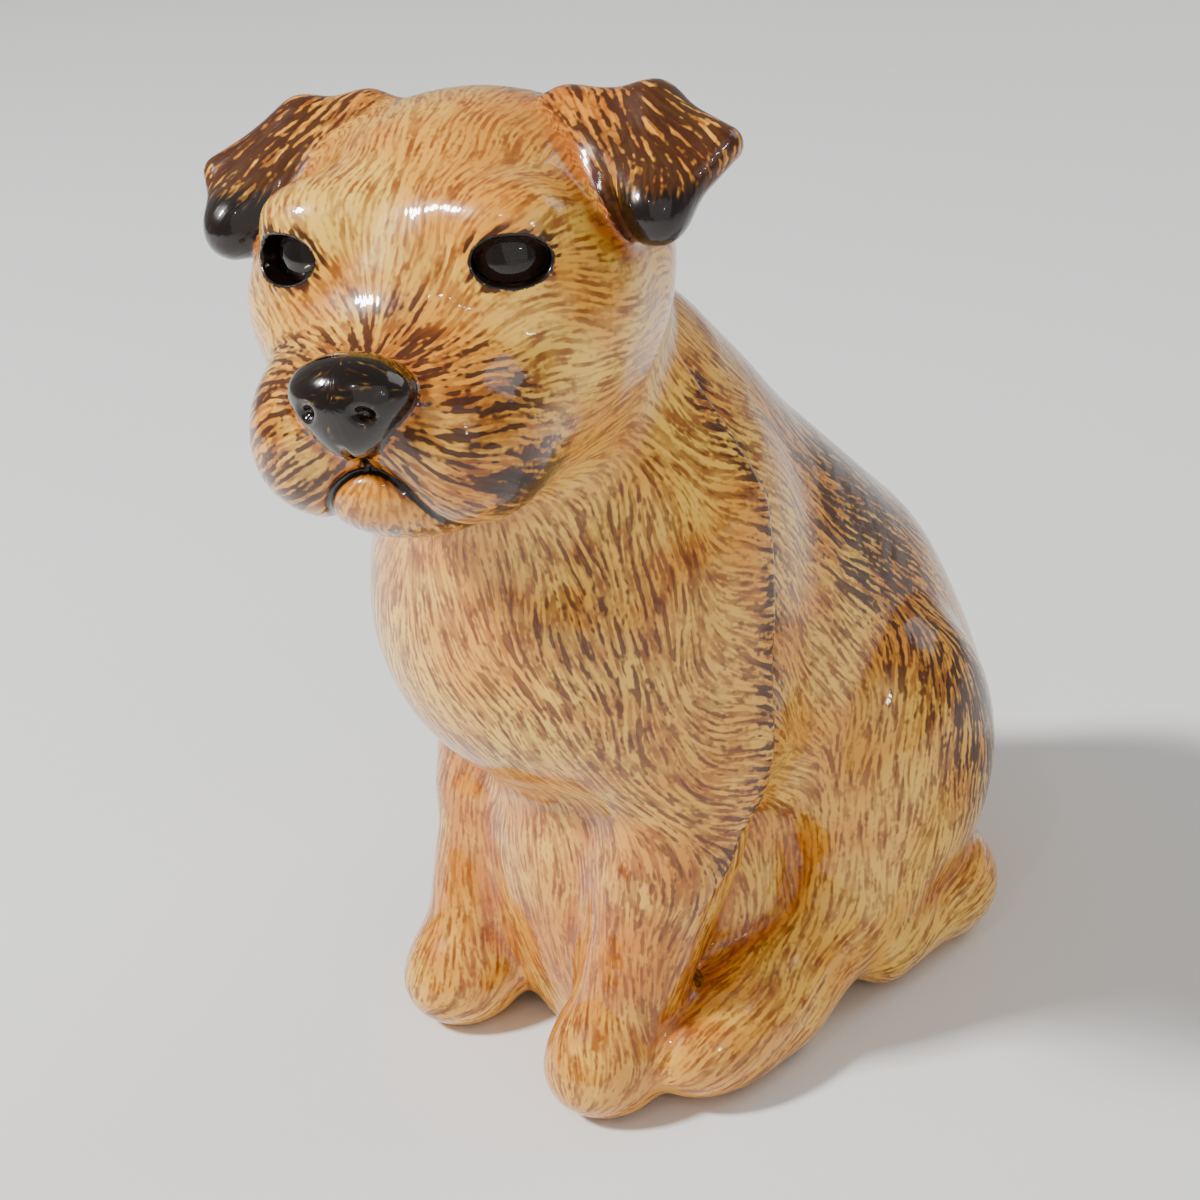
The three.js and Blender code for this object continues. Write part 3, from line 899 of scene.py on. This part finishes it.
def strokes(tree, place, flow, grain, offset):
    """Noise drawn out along the flow: a value near 0.5 that varies from stroke to stroke."""
    total = None
    for k in range(STROKE_STEPS):
        shift = STROKE_LENGTH * (k / (STROKE_STEPS - 1) - 0.5)
        spot = tree.vector("ADD", tree.vector("ADD", place, tree.scaled(flow, shift)), offset)
        sample = tree.noise(spot, grain)
        total = sample if total is None else tree.math("ADD", total, sample)
    return tree.math("DIVIDE", total, STROKE_STEPS)


def paint_group():
    """The hand-painted coat: pale glaze, an orange wash, and two layers of brush strokes, with painted shade
    and highlights mixed in.
    """
    group = bpy.data.node_groups.new("brushed_coat", "ShaderNodeTree")
    group.interface.new_socket("Color", in_out="OUTPUT", socket_type="NodeSocketColor")
    group.interface.new_socket("Height", in_out="OUTPUT", socket_type="NodeSocketFloat")
    tree = Tree(group)
    place = tree.scaled(tree.node("ShaderNodeTexCoord").outputs["Object"], 1 / MM)
    flow = tree.node("ShaderNodeAttribute", attribute_name="flow").outputs["Vector"]
    layers = tree.node("ShaderNodeAttribute", attribute_name="paint")
    parts = tree.node("ShaderNodeSeparateColor", {0: layers.outputs["Color"]})
    umber, bare_and_highlight, ink = (parts.outputs[k] for k in range(3))
    amber = layers.outputs["Alpha"]

    fine = strokes(tree, place, flow, FINE_GRAIN, (0, 0, 0))
    bold = strokes(tree, place, flow, BOLD_GRAIN, (71, 13, 37))
    cloud = tree.noise(place, 0.045, 2.0)
    tone = tree.noise(place, 0.12, 2.0)

    base = tree.mixed(tree.between(cloud, 0.38, 0.64), CREAM, HONEY)
    # The orange wash also holds painted shade in each crease and hollow, besides its own tone.
    wash = tree.math("MULTIPLY", amber, tree.between(tone, 0.3, 0.6, 0.55, 1.0))
    base = tree.mixed(wash, base, ORANGE)
    # Paler glaze where few strokes go, which on the haunches is a painted highlight.
    base = tree.mixed(tree.math("MULTIPLY", bare_and_highlight, 0.55), base, CREAM)

    dense = tree.math("MULTIPLY_ADD", umber, 0.5, tree.math("MULTIPLY_ADD", bare_and_highlight, -0.6, 0.5))
    level = tree.math("MULTIPLY_ADD", dense, -0.06, 0.535)
    fine_share = tree.between(tree.math("SUBTRACT", fine, level), -0.05, 0.05)
    faint = tree.between(tree.noise(place, 0.2, 1.0), 0.3, 0.7, 0.45, 0.9)
    painted = tree.mixed(tree.math("MULTIPLY", fine_share, faint), base, SIENNA)

    level = tree.math("MULTIPLY_ADD", umber, -0.15, 0.6)
    bold_share = tree.between(tree.math("SUBTRACT", bold, level), -0.028, 0.032)
    bold_share = tree.math("MULTIPLY", bold_share, tree.between(umber, 0.0, 0.6, 0.3, 0.95))
    dark = tree.mixed(tree.between(umber, 0.3, 0.7), UMBER, BROWN)
    painted = tree.mixed(bold_share, painted, dark)

    streaky = tree.math("MULTIPLY", tree.math("SUBTRACT", fine, 0.5), 4.0)
    solid = tree.between(tree.math("ADD", ink, tree.math("MULTIPLY", streaky, tree.math(
        "MULTIPLY", ink, tree.math("SUBTRACT", 1.3, ink)))), 0.25, 0.75)
    painted = tree.mixed(solid, painted, INK)

    ripple_height = tree.noise(place, 0.16, 1.0)
    height = tree.math("ADD", tree.math("MULTIPLY", fine, 0.9), tree.math("MULTIPLY", ripple_height, 0.9))
    out = tree.node("NodeGroupOutput")
    group.links.new(painted, out.inputs["Color"])
    group.links.new(height, out.inputs["Height"])
    return group


def glaze_material(name, group, roughness, bump):
    material = bpy.data.materials.new(name)
    material.use_nodes = True
    tree = Tree(material.node_tree)
    shader = material.node_tree.nodes["Principled BSDF"]
    paint = tree.node("ShaderNodeGroup", node_tree=group)
    relief = tree.node("ShaderNodeBump", {"Height": paint.outputs["Height"], "Strength": bump,
                                          "Distance": 0.6 * MM})
    links = material.node_tree.links
    links.new(paint.outputs["Color"], shader.inputs["Base Color"])
    links.new(relief.outputs["Normal"], shader.inputs["Normal"])
    links.new(relief.outputs["Normal"], shader.inputs["Coat Normal"])
    shader.inputs["Roughness"].default_value = roughness
    shader.inputs["IOR"].default_value = 1.5
    shader.inputs["Specular IOR Level"].default_value = 0.2
    shader.inputs["Coat Weight"].default_value = 0.8
    shader.inputs["Coat Roughness"].default_value = 0.04
    shader.inputs["Coat IOR"].default_value = 1.5
    return material


def glass_material():
    material = bpy.data.materials.new("eye_glass")
    material.use_nodes = True
    tree = Tree(material.node_tree)
    shader = material.node_tree.nodes["Principled BSDF"]
    place = tree.scaled(tree.node("ShaderNodeTexCoord").outputs["Object"], 1 / MM)
    tint = tree.mixed(tree.noise(place, 0.3, 2.0), (0.26, 0.16, 0.1, 1), (0.38, 0.25, 0.17, 1))
    material.node_tree.links.new(tint, shader.inputs["Base Color"])
    shader.inputs["Transmission Weight"].default_value = 1.0
    shader.inputs["Roughness"].default_value = 0.01
    shader.inputs["IOR"].default_value = 1.5
    return material


def iris_material():
    """Brown fibres round a black pupil, with a dark outer ring."""
    material = bpy.data.materials.new("iris_paint")
    material.use_nodes = True
    tree = Tree(material.node_tree)
    shader = material.node_tree.nodes["Principled BSDF"]
    disc = tree.node("ShaderNodeAttribute", attribute_name="disc").outputs["Vector"]
    radius = tree.vector("LENGTH", disc)
    radius = disc.node.id_data.nodes[-1].outputs["Value"]
    around = tree.vector("NORMALIZE", disc)
    fibre = tree.noise(around, 9.0, 3.0, 0.6)
    brown = tree.mixed(fibre, colour(60, 30, 14), colour(150, 84, 36))
    ring = tree.between(radius, 4.3, 6.4, 0, 1)
    shade = tree.mixed(ring, brown, colour(18, 10, 7))
    pupil = tree.between(radius, 3.0, 3.4, 1, 0)
    shade = tree.mixed(pupil, shade, (0.003, 0.003, 0.003, 1))
    material.node_tree.links.new(shade, shader.inputs["Base Color"])
    shader.inputs["Roughness"].default_value = 0.7
    shader.inputs["Specular IOR Level"].default_value = 0.05
    return material


# ---- building the pieces ----

FLOOR_SIZE = 12
LENS_BACK = 3.2
LENS_CLEARANCE = 0.3
IRIS_CLEARANCE = 0.35
IRIS_THICKNESS = 1.5
EYE_CELL = 0.55

IRIS_PLACE = 0.3 - 0.3 * EYE_DIAMETER / 2 + 0.8


def node_middle(name):
    low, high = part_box(name)
    return np.array((low + high) / 2) / MM


iris_middle = HEAD_CENTRE + HEAD_MATRIX @ point(
    0, -EYE_FORWARD + IRIS_PLACE * math.cos(math.radians(EYE_SPLAY)), EYE_HEIGHT)
SHIFT = (node_middle("left_eye_iris") + node_middle("right_eye_iris")) / 2 - iris_middle
SHIFT[2] = 0


def make_piece(name, slot, node, vertices, faces, normals, material, attributes):
    mesh = bpy.data.meshes.new(name)
    mesh.vertices.add(len(vertices))
    mesh.vertices.foreach_set("co", ((vertices + SHIFT) * MM).ravel())
    mesh.loops.add(faces.size)
    mesh.loops.foreach_set("vertex_index", faces.ravel().astype(np.int32))
    mesh.polygons.add(len(faces))
    mesh.polygons.foreach_set("loop_start", np.arange(0, faces.size, 3, dtype=np.int32))
    mesh.update(calc_edges=True)
    mesh.validate()
    mesh.shade_smooth()
    for key, (kind, field, values) in attributes.items():
        layer = mesh.attributes.new(key, kind, "POINT")
        layer.data.foreach_set(field, np.asarray(values, np.float32).ravel())
    if normals is not None:
        mesh.normals_split_custom_set_from_vertices([tuple(n) for n in normals])
    piece = bpy.data.objects.new(name, mesh)
    bpy.context.scene.collection.objects.link(piece)
    mesh.materials.append(material)
    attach(piece, "root")
    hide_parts(node)
    return piece


def build_pottery(materials):
    vertices, faces = dog_surface()
    for border in [below_neck, *JOINTS.values()]:
        vertices, faces = split_along(vertices, faces, border)
    labels = label_faces(vertices, faces)
    skins = {name: [faces[labels == name]] for name in ("body_shell", "head_shell", *JOINTS)}
    on_head = [skins[name][0] for name in ("head_shell", *HEAD_PARTS)]
    joins = [("head_shell", "body_shell", np.concatenate(on_head), below_neck)]
    joins += [(name, "head_shell" if name in HEAD_PARTS else "body_shell", skins[name][0], joint)
              for name, joint in JOINTS.items()]
    skin = vertices
    for child, parent, own, joint in joins:
        for ring in loops(own):
            inside, wall = inner_wall(vertices, np.array(ring), joint)
            vertices = np.concatenate([vertices, inside])
            skins[child].append(wall)
            skins[parent].append(wall[:, ::-1])
    normals = unit(slope(dog, skin, 0.15)[1])

    def padded(values, filler):
        return np.concatenate([values, np.tile(filler, (len(vertices) - len(skin), 1))])

    flow = padded(stroke_field(skin, normals), (0, 0, 1))
    paint = padded(np.stack(paint_layers(skin), -1), (0.3, 0.2, 0, 0.3))
    normals = padded(normals, (0, 0, 1))
    for name, sheets in skins.items():
        used, compact = np.unique(np.concatenate(sheets), return_inverse=True)
        slot = "nose_glaze" if name == "nose" else "ear_glaze" if name.endswith("_ear") else "coat_glaze"
        make_piece(f"{name}_glazed", slot, name, vertices[used], compact.reshape(-1, 3), normals[used],
                   materials[slot], {"flow": ("FLOAT_VECTOR", "vector", flow[used]),
                                     "paint": ("FLOAT_COLOR", "color", paint[used])})


def build_eyes(materials):
    for name, eye in EYES.items():
        def glass(p):
            q = (p - eye["centre"]) @ eye["gaze"]
            ball = np.linalg.norm(q, axis=-1) - EYE_DIAMETER / 2 + 0.1
            return soft_max(soft_max(ball, opening(eye, p) + LENS_CLEARANCE, 0.5), q[..., 1] + LENS_BACK, 0.3)

        def iris(p):
            q = (p - eye["centre"]) @ eye["gaze"]
            disc = np.abs(q[..., 1] - IRIS_PLACE) - IRIS_THICKNESS / 2
            return soft_max(opening(eye, p) + IRIS_CLEARANCE, disc, 0.2)

        for part, shape, slot in (("glass", glass, "eye_glass"), ("iris", iris, "iris_paint")):
            node = f"{name}_eye_{part}"
            middle = eye["centre"] + eye["gaze"] @ point(0, -5, 0)
            vertices, faces = first_skin(shape, middle - 13, middle + 13, EYE_CELL)
            vertices = settle(shape, vertices, 0.2, 3)
            normals = unit(slope(shape, vertices, 0.05)[1])
            q = (vertices - eye["centre"]) @ eye["gaze"]
            disc = np.stack([q[:, 0], np.zeros(len(q)), q[:, 2]], -1)
            make_piece(f"{node}_clear" if part == "glass" else f"{node}_painted", slot, node, vertices, faces,
                       normals, materials[slot], {"disc": ("FLOAT_VECTOR", "vector", disc)})


def build_stage():
    half = FLOOR_SIZE / 2
    mesh = bpy.data.meshes.new("floor")
    corners = [(-half, -half, 0), (half, -half, 0), (half, half, 0), (-half, half, 0)]
    mesh.from_pydata(corners, [], [(0, 1, 2, 3)])
    floor = bpy.data.objects.new("floor", mesh)
    bpy.context.scene.collection.objects.link(floor)
    material = bpy.data.materials.new("pale_floor")
    material.use_nodes = True
    tree = Tree(material.node_tree)
    place = tree.node("ShaderNodeTexCoord").outputs["Object"]
    tone = tree.mixed(tree.noise(place, 3.0, 2.0), (0.80, 0.80, 0.79, 1), (0.84, 0.84, 0.83, 1))
    shader = material.node_tree.nodes["Principled BSDF"]
    material.node_tree.links.new(tone, shader.inputs["Base Color"])
    shader.inputs["Roughness"].default_value = 0.9
    mesh.materials.append(material)


def build_light(name, place, size, power, warmth=1.0):
    lamp = bpy.data.lights.new(name, "AREA")
    lamp.size = size
    lamp.energy = power
    lamp.color = (1.0, 0.5 + 0.5 * warmth, warmth)
    holder = bpy.data.objects.new(name, lamp)
    bpy.context.scene.collection.objects.link(holder)
    holder.location = Vector(place)
    holder.rotation_euler = (Vector((0, 0, 0.12)) - holder.location).to_track_quat("-Z", "Y").to_euler()


CAMERA_AZIMUTH = 53
CAMERA_RISE = 27
CAMERA_ROLL = 8
CAMERA_DISTANCE = 660
CAMERA_TARGET = point(-16, -25, 107.5)
CAMERA_LENS = 75.6


def build_camera():
    a, e = math.radians(CAMERA_AZIMUTH), math.radians(CAMERA_RISE)
    back = Vector((math.sin(a) * math.cos(e), -math.cos(a) * math.cos(e), math.sin(e)))
    data = bpy.data.cameras.new("camera")
    data.sensor_width = 36
    data.lens = CAMERA_LENS
    camera = bpy.data.objects.new("camera", data)
    bpy.context.scene.collection.objects.link(camera)
    camera.location = (Vector(CAMERA_TARGET + SHIFT) + back * CAMERA_DISTANCE) * MM
    level = (-back).to_track_quat("-Z", "Y").to_matrix()
    camera.rotation_euler = (level @ Matrix.Rotation(math.radians(-CAMERA_ROLL), 3, "Z")).to_euler()
    bpy.context.scene.camera = camera


def build_world():
    world = bpy.data.worlds.new("studio")
    bpy.context.scene.world = world
    world.use_nodes = True
    world.node_tree.nodes["Background"].inputs[0].default_value = (1.0, 0.99, 0.97, 1)
    world.node_tree.nodes["Background"].inputs[1].default_value = 0.34


group = paint_group()
finishes = {
    "coat_glaze": glaze_material("coat_glaze", group, 0.32, 0.35),
    "ear_glaze": glaze_material("ear_glaze", group, 0.26, 0.35),
    "nose_glaze": glaze_material("nose_glaze", group, 0.18, 0.25),
    "eye_glass": glass_material(),
    "iris_paint": iris_material(),
}
build_pottery(finishes)
build_eyes(finishes)
build_stage()
build_camera()
build_world()
build_light("key", (-0.75, -1.35, 1.75), 0.32, 76)
build_light("fill", (1.9, -0.9, 1.1), 2.4, 9)
build_light("back", (0.6, 1.5, 1.4), 1.2, 10)
build_light("sparkle_high", (0.42, -0.72, 1.2), 0.05, 0.8)
build_light("sparkle_side", (1.25, -0.25, 0.8), 0.05, 0.8)
